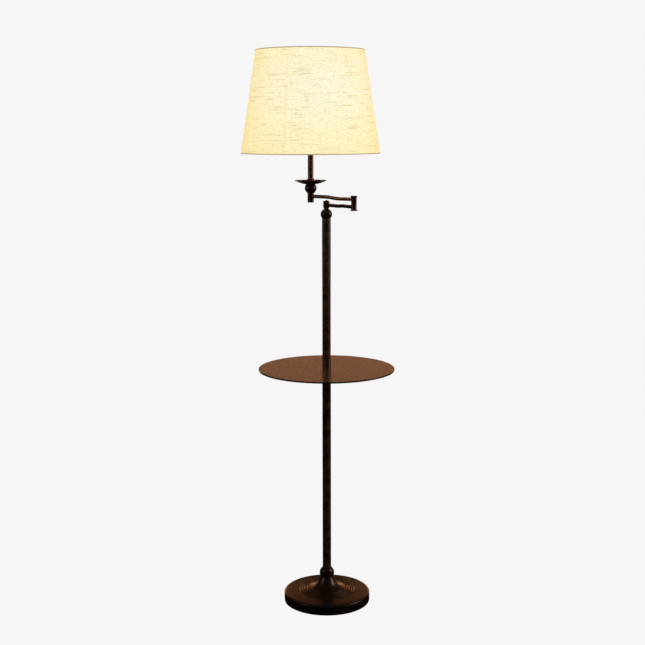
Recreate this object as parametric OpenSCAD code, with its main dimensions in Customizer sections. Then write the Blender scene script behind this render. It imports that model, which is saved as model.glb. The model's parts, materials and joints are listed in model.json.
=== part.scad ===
// Floor lamp with a round table on its pole and a swinging two-part arm.
// Millimetres. The origin is the middle of the base's underside, on the pole's axis.
// +Z is up and -Y is the front.

/* [Base] */
// Diameter of the base
base_d = 253; // [220:1:320]
// Height of the base's upright side, from the floor
base_side_h = 24; // [19:0.5:40]
// Width of the rounded shoulder above the side
shoulder_w = 9.5; // [4:0.5:15]
// Rise of the rounded shoulder
shoulder_rise = 5; // [3:0.5:10]
// Width of the plain band inside the shoulder
band_w = 35; // [20:1:45]
// Rise across the plain band
band_rise = 3; // [1:0.5:8]
// Number of stepped rings inside the band
ring_n = 4; // [2:1:5]
// Width of one stepped ring
ring_w = 7.5; // [4:0.5:9]
// Rise of one stepped ring
ring_rise = 2; // [1:0.25:4]
// Depth of the groove between two rings
ring_groove = 0.8; // [0.3:0.1:1]
// Height of the bell above the rings
bell_h = 32; // [20:1:60]
// Radius of the bell's neck, under the ball
neck_r = 18.5; // [14:0.5:20]
// Thickness of the spun steel cover
cover_t = 1.2; // [0.8:0.1:2]
// Thickness of the felt pad under the base
pad_t = 1.5; // [1:0.1:3]
// Thickness of the iron weight's plate
weight_h = 15; // [14:0.5:16.5]
// Radius of the iron weight's middle boss
boss_r = 40; // [30:1:45]
// Iron left above the nut recess, in the middle boss
boss_roof = 12; // [8:0.5:14]
// Radius of the nut recess under the weight
recess_r = 22; // [18:0.5:26]

/* [Cord inlet] */
// Height of the cord inlet at the back of the base
inlet_z = 8.5; // [8.5:0.1:10]
// Bore of the inlet grommet
inlet_bore_d = 6; // [5:0.5:7]
// Diameter of the grommet's neck, through the cover
inlet_neck_d = 9; // [8.5:0.5:10]
// Diameter of the grommet's flanges
inlet_flange_d = 12; // [11.5:0.5:13]
// Thickness of each grommet flange
inlet_flange_t = 2; // [1:0.5:3]

/* [Pole] */
// Diameter of the pole
pole_d = 25; // [20:0.5:32]
// Wall of the pole tube
pole_t = 1.2; // [0.8:0.1:2]
// Length of the pole tube below the table
lower_pole_len = 600; // [400:1:800]
// Length of the pole tube above the table
upper_pole_len = 434; // [250:1:600]
// Diameter of the ball at the foot of the pole
foot_ball_d = 43; // [40:0.5:60]
// Diameter of the ball at the top of the pole
top_ball_d = 33; // [30:0.5:45]
// Length of a threaded insert in the pole's end
insert_len = 16; // [10:1:30]
// Diameter of the hollow threaded rods
nipple_d = 9.9; // [9:0.1:10.5]
// Bore of the hollow threaded rods
nipple_bore_d = 7.2; // [6.5:0.1:7.5]

/* [Table] */
// Diameter of the table
table_d = 394; // [300:1:500]
// Depth of the table's turned-down rim
table_rim_h = 4; // [3.5:0.5:20]
// Thickness of the table's sheet
table_t = 1.2; // [0.8:0.1:2]
// Radius of the rim's rounded corner
table_corner_r = 2; // [1.5:0.1:3]
// Diameter of the support flange under the table
flange_d = 90; // [60:1:150]
// Thickness of the support flange
flange_t = 2.5; // [2:0.5:5]

/* [Arms] */
// Distance between the two pivots of each arm
arm_len = 141.5; // [120:0.5:200]
// Diameter of the arm tube
arm_d = 10; // [9:0.5:11]
// Wall of the arm tube
arm_t = 1; // [0.8:0.1:1.2]
// Direction of the lower arm at rest, seen from above
lower_arm_turn = -58; // [-180:1:180]
// Direction of the upper arm at rest, seen from above
upper_arm_turn = 147; // [-180:1:180]
// Rise of the lower arm from the pole to the elbow
lower_arm_rise = 1.8; // [1:0.1:8]
// Rise of the upper arm from the elbow to the head
upper_arm_rise = 4; // [1:0.5:8]
// Radius of the two bends in each arm
bend_r = 160; // [60:5:200]

/* [Swivel and elbow] */
// Diameter of the swivel and head barrels
barrel_d = 18; // [17:0.1:20]
// Height of the swivel barrel on the pole
swivel_h = 21; // [18:0.5:30]
// Height of the arm above the underside of the swivel barrel
swivel_arm_h = 10.3; // [7:0.1:11]
// Height of each half of the elbow
elbow_h = 18.4; // [17:0.2:26]
// Diameter of the elbow's plain part
elbow_d = 15.2; // [15:0.1:17]
// Height of the lower arm above the elbow's underside
elbow_low_arm_h = 8.7; // [8:0.1:10]
// Height of the upper arm above the elbow's washer
elbow_high_arm_h = 10.5; // [8:0.1:11]
// Diameter of the elbow's pin
elbow_pin_d = 6.4; // [5:0.1:7.5]
// Diameter of the elbow's end caps
elbow_cap_d = 19; // [17.5:0.5:22]
// Thickness of the elbow's end caps
elbow_cap_t = 1.6; // [1:0.1:3]
// Thickness of the washer in each pivot
washer_t = 0.8; // [0.5:0.1:1.5]
// Diameter of the stud's tip above the swivel
stud_tip_d = 4; // [3:0.5:6]
// Height of the nut on the swivel
swivel_nut_h = 1.4; // [1:0.1:3]
// Length of the stud's tip above its nut
stud_tip_h = 2.6; // [1:0.1:4]

/* [Head] */
// Height of the head barrel below the arm
head_barrel_lower = 14.7; // [10:0.1:20]
// Height of the head barrel above the arm
head_barrel_upper = 8.9; // [8:0.1:16]
// Height of the head barrel's end nut
head_nut_h = 2.2; // [1:0.1:4]
// Diameter of the head barrel's end nut
head_nut_d = 18; // [17:0.5:22]
// Diameter of the ball under the dish
head_ball_d = 33; // [30:0.5:45]
// Radius of the ball's upper seat
head_seat_r = 12; // [8:0.5:13]
// Diameter of the dish at its rim
dish_d = 88.6; // [70:0.2:120]
// Radius of the dish's flat floor
dish_floor_r = 17; // [14:0.5:25]
// Rise of the dish from its floor to its rim
dish_rise = 9.4; // [5:0.2:20]
// Thickness of the dish's sheet
dish_t = 1.2; // [0.8:0.1:2]
// Diameter of the candle tube
candle_d = 15.8; // [14.5:0.1:22]
// Wall of the candle tube
candle_t = 0.8; // [0.6:0.1:1.2]
// Length of the candle tube
candle_len = 117; // [90:1:160]
// Height of the foot round the candle tube
candle_foot_h = 14.5; // [8:0.5:25]
// Wall of the foot round the candle tube
candle_foot_t = 1.7; // [1:0.1:3]

/* [Lampholder and bulb] */
// Diameter of the lampholder's shell
holder_d = 33; // [32.5:0.1:38]
// Height of the lampholder's lower cap
holder_cap_h = 22; // [18:1:30]
// Height of the lampholder's upper shell
holder_shell_h = 42; // [38:1:50]
// Thickness of the lampholder's brass sheet
holder_t = 0.7; // [0.5:0.1:1]
// Height of the switch's axis above the lampholder's underside
switch_h = 31; // [29:0.5:34]
// Diameter of the switch knob
knob_d = 13; // [10:0.5:16]
// Length of the switch knob
knob_len = 11; // [8:0.5:14]
// Number of grip flutes round the switch knob
knob_flute_n = 12; // [8:1:16]
// Diameter of the bulb's screw base
bulb_base_d = 26; // [25:0.1:26.4]
// Height of the bulb's screw base
bulb_base_h = 25; // [22:0.5:28]
// Diameter of the bulb's glass
bulb_d = 60; // [50:1:65]
// Height of the bulb, from its contact to its top
bulb_h = 106; // [95:1:115]

/* [Harp and shade] */
// Height of the harp, from the saddle to its top
harp_h = 216; // [200:1:255]
// Width of the harp between its wires
harp_w = 108; // [90:1:130]
// Width of the saddle between the harp's feet
saddle_w = 42; // [40:1:50]
// Diameter of the harp's wire
harp_wire_d = 3.4; // [2.5:0.1:4]
// Bottom diameter of the shade
shade_bottom_d = 386; // [330:1:450]
// Top diameter of the shade
shade_top_d = 300; // [260:1:420]
// Height of the shade
shade_h = 280; // [240:1:340]
// Thickness of the shade's lined fabric
shade_t = 0.8; // [0.6:0.1:2]
// Drop of the spider's hub below the shade's top
spider_drop = 23; // [22:1:40]
// Diameter of the shade's wire
shade_wire_d = 3; // [2:0.1:4]
// Number of spokes of the spider
spoke_n = 3; // [3:1:4]
// Height of the finial
finial_h = 19; // [12:0.5:19.5]
// Diameter of the finial
finial_d = 13; // [8:0.5:16]

/* [Fits] */
// Radial clearance of a piece that turns on its pin
run_clear = 0.05; // [0.03:0.01:0.1]
// Radial clearance of a piece that stays put in its hole
fit_clear = 0.1; // [0.05:0.01:0.2]
// Gap between two faces that turn past each other
face_gap = 0.1; // [0.05:0.01:0.2]
// Diameter of the lamp's inner leads
lead_d = 4.4; // [3:0.1:5]

/* [Hidden] */
$fn = 96;

// Small sizes that many pieces share
lip = 0.01;                              // overrun of a cut past a face
nut_h = 6;                               // height of the hexagon nut
nut_af = 17;                             // its width across the flats
plate_washer_t = 2;                      // thickness of the washer above it
plate_washer_r = 15;
thread_clear_r = nipple_d / 2 + fit_clear;
lead_r = lead_d / 2;
lead_bend_r = 5;                         // bend of the lead in the base
slack = 0.3;                             // gap beside a lead that lies in its tube
lead_sides = 12;
bend_step = 3;                           // degrees between two stations of a bent tube

// Heights and radii of the base
base_r = base_d / 2;
shoulder_r = base_r - shoulder_w;
band_r = shoulder_r - band_w;
bell_r = band_r - ring_n * ring_w;
shoulder_z = base_side_h + shoulder_rise;
band_z = shoulder_z + band_rise;
bell_z = band_z + ring_n * ring_rise;
neck_z = bell_z + bell_h;
arc_steps = 8;
bell_steps = 14;
weight_gap = 0.8;                        // air between the weight and the cover
weight_r = base_r - cover_t - weight_gap;
weight_top_z = pad_t + weight_h;
weight_chamfer = 3;
base_nut_z = inlet_z + lead_bend_r - 1.5;
base_washer_z = base_nut_z + nut_h;
recess_z = base_washer_z + plate_washer_t;
grommet_neck = cover_t + fit_clear + weight_gap / 2;
grommet_len = 2 * inlet_flange_t + grommet_neck;
lead_from = base_r + inlet_flange_t - grommet_len - slack;

// Heights up the pole
foot_ball_r = foot_ball_d / 2;
top_ball_r = top_ball_d / 2;
pole_r = pole_d / 2;
pole_seat_r = pole_r + 0.6;              // flat that the pole's end stands on
nipple_inset = 2;                        // a rod's end, short of its insert's end
swivel_seat_r = 6.5;                     // flat on the top ball
foot_ball_z = neck_z + reach(foot_ball_r, neck_r);
lower_pole_z = foot_ball_z + reach(foot_ball_r, pole_seat_r);
flange_z = lower_pole_z + lower_pole_len;
table_under_z = flange_z + flange_t;
table_z = table_under_z + table_t;
pole_top_z = table_z + upper_pole_len;
top_ball_z = pole_top_z + reach(top_ball_r, pole_seat_r);
swivel_seat_z = top_ball_z + reach(top_ball_r, swivel_seat_r);

// Heights of the swivel and the elbow
barrel_r = barrel_d / 2;
arm_r = arm_d / 2;
arm_bore_r = arm_r - arm_t;
arm_lead_drop = arm_bore_r - lead_r - slack;
stud_r = nipple_d / 2;
stud_bore_r = 2.8;
swivel_z = swivel_seat_z + washer_t + face_gap;
lower_arm_z = swivel_z + swivel_arm_h;
swivel_top_z = swivel_z + swivel_h;
swivel_nut_z = swivel_top_z + face_gap;
elbow_arm_z = lower_arm_z + lower_arm_rise;
elbow_z = elbow_arm_z - elbow_low_arm_h;
elbow_mid_z = elbow_z + elbow_h;
elbow_upper_z = elbow_mid_z + washer_t + face_gap;
upper_arm_z = elbow_upper_z + elbow_high_arm_h;
elbow_top_z = elbow_upper_z + elbow_h + face_gap;
elbow_pin_r = elbow_pin_d / 2;
elbow_r = elbow_d / 2;
arm_entry = 5.6;                         // from a pivot's axis to the arm tube's end
elbow_at = arm_len * [cos(lower_arm_turn), sin(lower_arm_turn)];
head_at = elbow_at + arm_len * [cos(upper_arm_turn), sin(upper_arm_turn)];

// Heights of the head
head_arm_z = upper_arm_z + upper_arm_rise;
head_z = head_arm_z - head_barrel_lower;
head_top_z = head_arm_z + head_barrel_upper;
head_ball_r = head_ball_d / 2;
head_ball_z = head_top_z + reach(head_ball_r, barrel_r);
dish_z = head_ball_z + reach(head_ball_r, head_seat_r);
candle_z = dish_z + dish_t;
candle_r = candle_d / 2;
candle_cap_h = 3;
candle_cap_r = candle_r + 2.5;
candle_top_z = candle_z + candle_len;
saddle_t = 1.4;
saddle_d = 14;                           // depth of the saddle's strap
saddle_z = candle_top_z + candle_cap_h;

// Heights of the lampholder and the bulb
holder_r = holder_d / 2;
holder_z = saddle_z + saddle_t;
shell_z = holder_z + holder_cap_h;
holder_top_z = shell_z + holder_shell_h;
holder_neck_r = 8;                       // radius of the cap's neck
holder_neck_h = 2;
holder_cone_r = 0.8 * holder_r;
holder_cone_z = 6;                       // where the cap's cone meets its shoulder
holder_shoulder_z = 14;                  // where its shoulder meets its side
rod_in_holder = 5;                       // length of the hollow rod inside the cap
liner_t = 0.6;
liner_inset = 1;                         // the liner's top, below the shell's
liner_r = holder_r - holder_t - fit_clear;
switch_z = holder_z + switch_h;
switch_shaft_r = 2;
switch_hole_gap = 1;
switch_body_r = liner_r - liner_t - fit_clear;
switch_body_z = holder_z + rod_in_holder + 1;
switch_over = 9;                         // the switch body's top, above its axis
switch_body_h = switch_z + switch_over - switch_body_z;
screw_shell_t = 0.5;
screw_shell_h = 20;
bulb_z = switch_body_z + switch_body_h + slack;
bulb_r = bulb_d / 2;
bulb_neck_r = bulb_base_d / 2 - 0.6;
bulb_centre_z = bulb_z + bulb_h - bulb_r;
bulb_steps = 16;

// Heights of the harp and the shade
harp_wire_r = harp_wire_d / 2;
harp_z = saddle_z + saddle_t;
harp_foot_len = 14;
harp_flare = 40;                         // lean of the harp's lower wires
harp_low_r = 12;
harp_high_r = 40;
harp_top_r = harp_w / 2 - 4;
ferrule_r = harp_wire_r + 1.1;
ferrule_h = 8;
harp_top_z = saddle_z + harp_h;
harp_hub_r = 5;
harp_hub_h = 3;
harp_stud_r = 3;
hub_z = harp_top_z + harp_wire_r + harp_hub_h;
spider_hub_r = 10;
spider_hub_t = 1.6;
shade_top_z = hub_z + spider_drop;
shade_z = shade_top_z - shade_h;
shade_wire_r = shade_wire_d / 2;
spoke_r = shade_wire_r;
finial_z = hub_z + spider_hub_t;
shade_lean = atan((shade_bottom_d - shade_top_d) / 2 / shade_h);

// Distance from a ball's centre to the flat that leaves a circle of radius r
function reach(ball_r, r) = sqrt(ball_r * ball_r - r * r);

// Radius inside the shade's fabric at height z
function shade_inner_r(z) =
    shade_bottom_d / 2 + (shade_top_d - shade_bottom_d) / 2 * (z - shade_z) / shade_h - shade_t;

// Point at share t along a quadratic curve
function curve(a, b, c, t) = (1 - t) * (1 - t) * a + 2 * t * (1 - t) * b + t * t * c;

// Outline of the base cover, from the foot of its side to its neck
function cover_outline(foot_z) = concat(
    [[base_r, foot_z], [base_r, base_side_h]],
    [for (i = [1:arc_steps])
        [shoulder_r + shoulder_w * cos(90 * i / arc_steps),
         base_side_h + shoulder_rise * sin(90 * i / arc_steps)]],
    [for (k = [0:ring_n - 1]) each [
        [band_r - k * ring_w, band_z + k * ring_rise],
        [band_r - k * ring_w - 0.25 * ring_w, band_z + (k + 1) * ring_rise],
        [band_r - k * ring_w - 0.7 * ring_w, band_z + (k + 1) * ring_rise],
        [band_r - k * ring_w - 0.85 * ring_w, band_z + (k + 1) * ring_rise - ring_groove]]],
    [for (i = [0:bell_steps])
        curve([bell_r, bell_z], [neck_r + 0.35 * (bell_r - neck_r), bell_z + 0.12 * bell_h],
              [neck_r, neck_z], i / bell_steps)]
);

// Angle of each of two equal bends of radius bend_r that lift a tube by rise
function bend_angle(rise) = acos(1 - rise / (2 * bend_r));

// Straights and bends of an arm that rises as it leaves its first pivot:
// [length, 0] is a straight and [radius, angle] a bend
function arm_path(rise) =
    let (a = bend_angle(rise), run = 2 * bend_r * sin(a), side = (arm_len - run) / 2 - arm_entry)
    [[side, 0], [bend_r, a], [bend_r, -a], [side, 0]];

// Straights and bends of the harp, from one foot over the top to the other
function harp_path() =
    let (out = harp_w / 2 - saddle_w / 2 - (harp_low_r + harp_high_r) * (1 - cos(harp_flare)),
         lean = out / sin(harp_flare),
         rise = harp_foot_len + (harp_low_r + harp_high_r) * sin(harp_flare) + lean * cos(harp_flare),
         side = harp_h - saddle_t - rise - harp_top_r,
         half = [[harp_foot_len, 0], [harp_low_r, -harp_flare], [lean, 0], [harp_high_r, harp_flare],
                 [side, 0], [harp_top_r, 90], [harp_w / 2 - harp_top_r, 0]])
    concat(half, [for (i = [len(half) - 1:-1:0]) half[i]]);

// Stations [x, z, heading] along a path of straights and bends, from its step i on
function stations(path, at = [0, 0, 0], i = 0) =
    i == len(path) ? [at] :
    let (size = path[i][0], turn = path[i][1], steps = max(1, ceil(abs(turn) / bend_step)))
    turn == 0
        ? concat([at], stations(path, at + [size * cos(at[2]), size * sin(at[2]), 0], i + 1))
        : concat([for (k = [0:steps - 1]) bend_station(at, size, turn * k / steps)],
                 stations(path, bend_station(at, size, turn), i + 1));

// Station after a turn on radius r, from station at
function bend_station(at, r, turn) =
    let (side = sign(turn) * r)
    at + [side * (sin(at[2] + turn) - sin(at[2])), side * (cos(at[2]) - cos(at[2] + turn)), turn];

// Round tube that starts along +X and follows a path in the XZ plane; with no bore it is solid
module tube(path, r, bore_r = 0, sides = 40) {
    at = stations(path);
    n = len(at);
    radii = bore_r > 0 ? [r, bore_r] : [r];
    points = [for (radius = radii, s = at, j = [0:sides - 1]) let (a = 360 * j / sides)
        [s[0] - radius * sin(a) * sin(s[2]), radius * cos(a), s[1] + radius * sin(a) * cos(s[2])]];
    // Index of point j of station i, on the outside or in the bore
    function p(i, j, wall = 0) = (wall * n + i) * sides + j % sides;
    outside = [for (i = [0:n - 2], j = [0:sides - 1])
        each [[p(i, j), p(i + 1, j), p(i + 1, j + 1)], [p(i, j), p(i + 1, j + 1), p(i, j + 1)]]];
    inside = [for (i = [0:n - 2], j = [0:sides - 1])
        each [[p(i, j, 1), p(i + 1, j + 1, 1), p(i + 1, j, 1)],
              [p(i, j, 1), p(i, j + 1, 1), p(i + 1, j + 1, 1)]]];
    ring_ends = [for (j = [0:sides - 1])
        each [[p(0, j), p(0, j + 1), p(0, j + 1, 1)], [p(0, j), p(0, j + 1, 1), p(0, j, 1)],
              [p(n - 1, j), p(n - 1, j + 1, 1), p(n - 1, j + 1)],
              [p(n - 1, j), p(n - 1, j, 1), p(n - 1, j + 1, 1)]]];
    solid_ends = [for (j = [1:sides - 2])
        each [[p(0, 0), p(0, j), p(0, j + 1)], [p(n - 1, 0), p(n - 1, j + 1), p(n - 1, j)]]];
    polyhedron(points, bore_r > 0 ? concat(outside, inside, ring_ends) : concat(outside, solid_ends));
}

// Round piece with a bore
module ring(r, bore_r, h) {
    difference() {
        cylinder(h = h, r = r);
        translate([0, 0, -lip]) cylinder(h = h + 2 * lip, r = bore_r);
    }
}

// Ball with a bore and two flats, where circles of low_r and high_r are left
module bored_ball(r, low_r, high_r, bore_r) {
    low = reach(r, low_r);
    high = reach(r, high_r);
    difference() {
        intersection() {
            sphere(r = r);
            translate([0, 0, -low]) cylinder(h = low + high, r = r + lip);
        }
        translate([0, 0, -r]) cylinder(h = 2 * r, r = bore_r);
    }
}

// Hollow threaded rod from height z to height top
module nipple(z, top, bore_r) {
    translate([0, 0, z]) ring(nipple_d / 2, bore_r, top - z);
}

// Places its children at the elbow's or at the head's axis, facing along the arm
module at_swivel() { rotate([0, 0, lower_arm_turn]) children(); }
module at_elbow(turn) { translate([elbow_at[0], elbow_at[1], 0]) rotate([0, 0, turn]) children(); }
module at_head() { translate([head_at[0], head_at[1], 0]) children(); }

// Hole along +X that takes an arm tube, from a barrel's axis outwards
module arm_hole(z) {
    translate([0, 0, z]) rotate([0, 90, 0]) cylinder(h = barrel_d, r = arm_r + fit_clear);
}

// ---- Base ----

module base_pad() {
    color("#1d1a18") cylinder(h = pad_t, r = base_r - cover_t / 2);
}

module base_weight() {
    color("#2b2b2d")
    difference() {
        rotate_extrude() polygon([
            [thread_clear_r, recess_z], [recess_r, recess_z], [recess_r, pad_t], [weight_r, pad_t],
            [weight_r, weight_top_z - weight_chamfer], [weight_r - weight_chamfer, weight_top_z],
            [boss_r, weight_top_z], [0.85 * boss_r, recess_z + boss_roof],
            [thread_clear_r, recess_z + boss_roof]
        ]);
        // Way for the lead, and room for the grommet's inner flange
        translate([0, 0, inlet_z]) rotate([-90, 0, 0]) cylinder(h = base_r, r = nipple_bore_d / 2);
        translate([0, lead_from, inlet_z])
            rotate([-90, 0, 0]) cylinder(h = base_r, r = inlet_flange_d / 2 + fit_clear);
    }
}

module base_cover() {
    outer = cover_outline(pad_t);
    inner = [for (i = [len(outer) - 1:-1:1]) outer[i] - [cover_t, cover_t]];
    color("#33231b")
    difference() {
        rotate_extrude() polygon(concat(
            outer, [[thread_clear_r, neck_z], [thread_clear_r, neck_z - cover_t]], inner,
            [[base_r - cover_t, pad_t]]));
        translate([0, base_r - 2 * cover_t, inlet_z])
            rotate([-90, 0, 0]) cylinder(h = 3 * cover_t, r = inlet_neck_d / 2 + fit_clear);
    }
}

module base_washer() {
    color("#8f8f8f") translate([0, 0, base_washer_z]) ring(plate_washer_r, thread_clear_r, plate_washer_t);
}

module base_nut() {
    color("#8f8f8f") translate([0, 0, base_nut_z])
    difference() {
        cylinder(h = nut_h, r = nut_af / sqrt(3), $fn = 6);
        translate([0, 0, -lip]) cylinder(h = nut_h + 2 * lip, r = thread_clear_r);
    }
}

module base_nipple() {
    color("#9a8a5a") nipple(base_nut_z, lower_pole_z + insert_len - nipple_inset, nipple_bore_d / 2);
}

module cord_grommet() {
    inner_flange = inlet_flange_t + grommet_neck;
    color("#161412")
    translate([0, base_r + inlet_flange_t, inlet_z]) rotate([90, 0, 0])
    rotate_extrude() polygon([
        [inlet_bore_d / 2, 0], [inlet_flange_d / 2, 0], [inlet_flange_d / 2, inlet_flange_t],
        [inlet_neck_d / 2, inlet_flange_t], [inlet_neck_d / 2, inner_flange],
        [inlet_flange_d / 2, inner_flange], [inlet_flange_d / 2 - 1, grommet_len],
        [inlet_bore_d / 2, grommet_len]
    ]);
}

module foot_ball() {
    color("#1c1512") translate([0, 0, foot_ball_z])
        bored_ball(foot_ball_r, neck_r, pole_seat_r, thread_clear_r);
}

// ---- Pole and table ----

module lower_pole() {
    color("#241b17") translate([0, 0, lower_pole_z]) ring(pole_r, pole_r - pole_t, lower_pole_len);
}

module upper_pole() {
    color("#241b17") translate([0, 0, table_z]) ring(pole_r, pole_r - pole_t, upper_pole_len);
}

module pole_inserts() {
    ends = [lower_pole_z, flange_z - insert_len, table_z, pole_top_z - insert_len];
    color("#9a8a5a") for (z = ends) translate([0, 0, z])
        ring(pole_r - pole_t - fit_clear, thread_clear_r, insert_len);
}

module table_flange() {
    color("#1f1815") translate([0, 0, flange_z]) ring(flange_d / 2, thread_clear_r, flange_t);
}

module table_top() {
    r = table_d / 2;
    inner_r = table_corner_r - table_t;
    outer_arc = [for (i = [0:arc_steps]) let (a = 90 * i / arc_steps)
        [r - table_corner_r + table_corner_r * cos(a), table_z - table_corner_r + table_corner_r * sin(a)]];
    inner_arc = [for (i = [arc_steps:-1:0]) let (a = 90 * i / arc_steps)
        [r - table_corner_r + inner_r * cos(a), table_z - table_corner_r + inner_r * sin(a)]];
    color("#5b3c28") rotate_extrude() polygon(concat(
        [[r, table_z - table_rim_h]], outer_arc,
        [[thread_clear_r, table_z], [thread_clear_r, table_under_z]], inner_arc,
        [[r - table_t, table_z - table_rim_h]]));
}

module table_nipple() {
    color("#9a8a5a") nipple(flange_z - insert_len + nipple_inset, table_z + insert_len - nipple_inset,
           nipple_bore_d / 2);
}

module top_ball() {
    color("#1c1512") translate([0, 0, top_ball_z])
        bored_ball(top_ball_r, pole_seat_r, swivel_seat_r, thread_clear_r);
}

module swivel_stud() {
    foot = pole_top_z - insert_len + nipple_inset;
    color("#1c1512")
    difference() {
        union() {
            translate([0, 0, foot]) cylinder(h = swivel_nut_z - foot, r = stud_r);
            translate([0, 0, foot])
                cylinder(h = swivel_nut_z + swivel_nut_h + stud_tip_h - foot, r = stud_tip_d / 2);
        }
        translate([0, 0, foot - lip]) cylinder(h = lower_arm_z + stud_bore_r - foot, r = stud_bore_r);
        // Side hole that lets the lead into the arm
        at_swivel() translate([0, 0, lower_arm_z]) rotate([0, 90, 0])
            cylinder(h = barrel_d, r = stud_bore_r);
    }
}

module swivel_washer() {
    color("#262421") translate([0, 0, swivel_seat_z])
        ring(swivel_seat_r, stud_r + fit_clear, washer_t);
}

module swivel_nut() {
    color("#1c1512") translate([0, 0, swivel_nut_z])
        ring(swivel_seat_r, stud_tip_d / 2 + fit_clear, swivel_nut_h);
}

module pole_lead() {
    color("#2a2019") translate([0, lead_from, inlet_z]) rotate([0, 0, -90])
        tube([[lead_from - lead_bend_r, 0], [lead_bend_r, 90], [lower_arm_z - inlet_z - lead_bend_r, 0]],
             lead_r, sides = lead_sides);
}

// ---- Lower arm ----

module swivel_barrel() {
    bore_r = stud_r + run_clear;
    rim = 2.2;                           // height of the rim at the top
    rim_out = 0.5;                       // how far the rim stands out, and its groove in
    round_h = 4.4;                       // height of the rounded foot
    round_in = 2.6;                      // how far the foot draws in
    color("#241b17")
    difference() {
        translate([0, 0, swivel_z]) rotate_extrude() polygon([
            [bore_r, 0], [barrel_r - round_in, 0], [barrel_r - 0.4 * round_in, 0.2 * round_h],
            [barrel_r - 0.1 * round_in, 0.55 * round_h], [barrel_r, round_h],
            [barrel_r, swivel_h - 2 * rim], [barrel_r - rim_out, swivel_h - 1.6 * rim],
            [barrel_r + rim_out, swivel_h - rim], [barrel_r + rim_out, swivel_h], [bore_r, swivel_h]
        ]);
        at_swivel() arm_hole(lower_arm_z);
    }
}

module lower_arm_tube() {
    color("#241b17") at_swivel() translate([arm_entry, 0, lower_arm_z])
        tube(arm_path(lower_arm_rise), arm_r, arm_bore_r);
}

module lower_arm_lead() {
    color("#2a2019") at_swivel() translate([arm_entry, 0, lower_arm_z - arm_lead_drop])
        tube(arm_path(lower_arm_rise), lead_r, sides = lead_sides);
}

// Half of the elbow, with its rim at the lower end
module elbow_half(bore_r) {
    rim = 2;
    rim_r = elbow_r + 1;
    rotate_extrude() polygon([
        [bore_r, 0], [rim_r, 0], [rim_r, rim], [elbow_r, 2 * rim], [elbow_r, elbow_h],
        [bore_r, elbow_h]
    ]);
}

module elbow_lower_barrel() {
    color("#241b17")
    difference() {
        at_elbow(0) translate([0, 0, elbow_z]) elbow_half(elbow_pin_r + fit_clear);
        at_elbow(lower_arm_turn + 180) arm_hole(elbow_arm_z);
    }
}

module elbow_pin() {
    color("#1c1512") at_elbow(0) {
        translate([0, 0, elbow_z - elbow_cap_t]) cylinder(h = elbow_cap_t, r = elbow_cap_d / 2);
        translate([0, 0, elbow_z - elbow_cap_t / 2])
            cylinder(h = elbow_top_z - elbow_z + elbow_cap_t, r = elbow_pin_r);
    }
}

module elbow_washer() {
    color("#262421") at_elbow(0) translate([0, 0, elbow_mid_z])
        ring(elbow_r, elbow_pin_r + fit_clear, washer_t);
}

module elbow_cap() {
    color("#1c1512") at_elbow(0) translate([0, 0, elbow_top_z])
    difference() {
        cylinder(h = elbow_cap_t, r = elbow_cap_d / 2);
        translate([0, 0, -lip])
            cylinder(h = elbow_cap_t / 2 + fit_clear + lip, r = elbow_pin_r + fit_clear);
    }
}

// ---- Upper arm and head ----

module elbow_upper_barrel() {
    color("#241b17")
    difference() {
        at_elbow(0) translate([0, 0, elbow_upper_z + elbow_h]) mirror([0, 0, 1])
            elbow_half(elbow_pin_r + run_clear);
        at_elbow(upper_arm_turn) arm_hole(upper_arm_z);
    }
}

module upper_arm_tube() {
    color("#241b17") at_elbow(upper_arm_turn) translate([arm_entry, 0, upper_arm_z])
        tube(arm_path(upper_arm_rise), arm_r, arm_bore_r);
}

module upper_arm_lead() {
    color("#2a2019") at_elbow(upper_arm_turn) translate([arm_entry, 0, upper_arm_z - arm_lead_drop])
        tube(arm_path(upper_arm_rise), lead_r, sides = lead_sides);
}

module head_barrel() {
    color("#241b17")
    difference() {
        at_head() translate([0, 0, head_z]) ring(barrel_r, thread_clear_r, head_top_z - head_z);
        at_head() rotate([0, 0, upper_arm_turn + 180]) arm_hole(head_arm_z);
    }
}

module head_nut() {
    r = head_nut_d / 2;
    edge = 0.7;                          // chamfer round the underside
    color("#1c1512") at_head() translate([0, 0, head_z - head_nut_h])
    difference() {
        rotate_extrude() polygon([[0, 0], [r - edge, 0], [r, edge], [r, head_nut_h], [0, head_nut_h]]);
        translate([0, 0, head_nut_h / 2]) cylinder(h = head_nut_h, r = thread_clear_r);
    }
}

module head_nipple() {
    color("#9a8a5a") at_head()
    difference() {
        nipple(head_z - head_nut_h / 2 + fit_clear, holder_z + rod_in_holder, nipple_bore_d / 2);
        // Side hole that lets the lead in from the arm
        rotate([0, 0, upper_arm_turn + 180]) translate([0, 0, head_arm_z])
            rotate([0, 90, 0]) cylinder(h = barrel_d, r = nipple_bore_d / 2 - lip);
    }
}

module head_ball() {
    color("#1c1512") at_head() translate([0, 0, head_ball_z])
        bored_ball(head_ball_r, barrel_r, head_seat_r, thread_clear_r);
}

module drip_dish() {
    r = dish_d / 2;
    lip_r = 0.9;
    outer = [for (i = [0:arc_steps])
        curve([dish_floor_r, 0], [dish_floor_r + 0.5 * (r - dish_floor_r), 0.3 * dish_rise],
              [r - lip_r, dish_rise], i / arc_steps)];
    inner = [for (i = [arc_steps:-1:0]) outer[i] + [0, dish_t]];
    color("#1c1512") at_head() translate([0, 0, dish_z]) {
        rotate_extrude() polygon(concat([[thread_clear_r, 0]], outer, inner, [[thread_clear_r, dish_t]]));
        translate([0, 0, dish_rise + dish_t / 2])
            rotate_extrude() translate([r - lip_r, 0]) circle(r = lip_r);
    }
}

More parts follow.
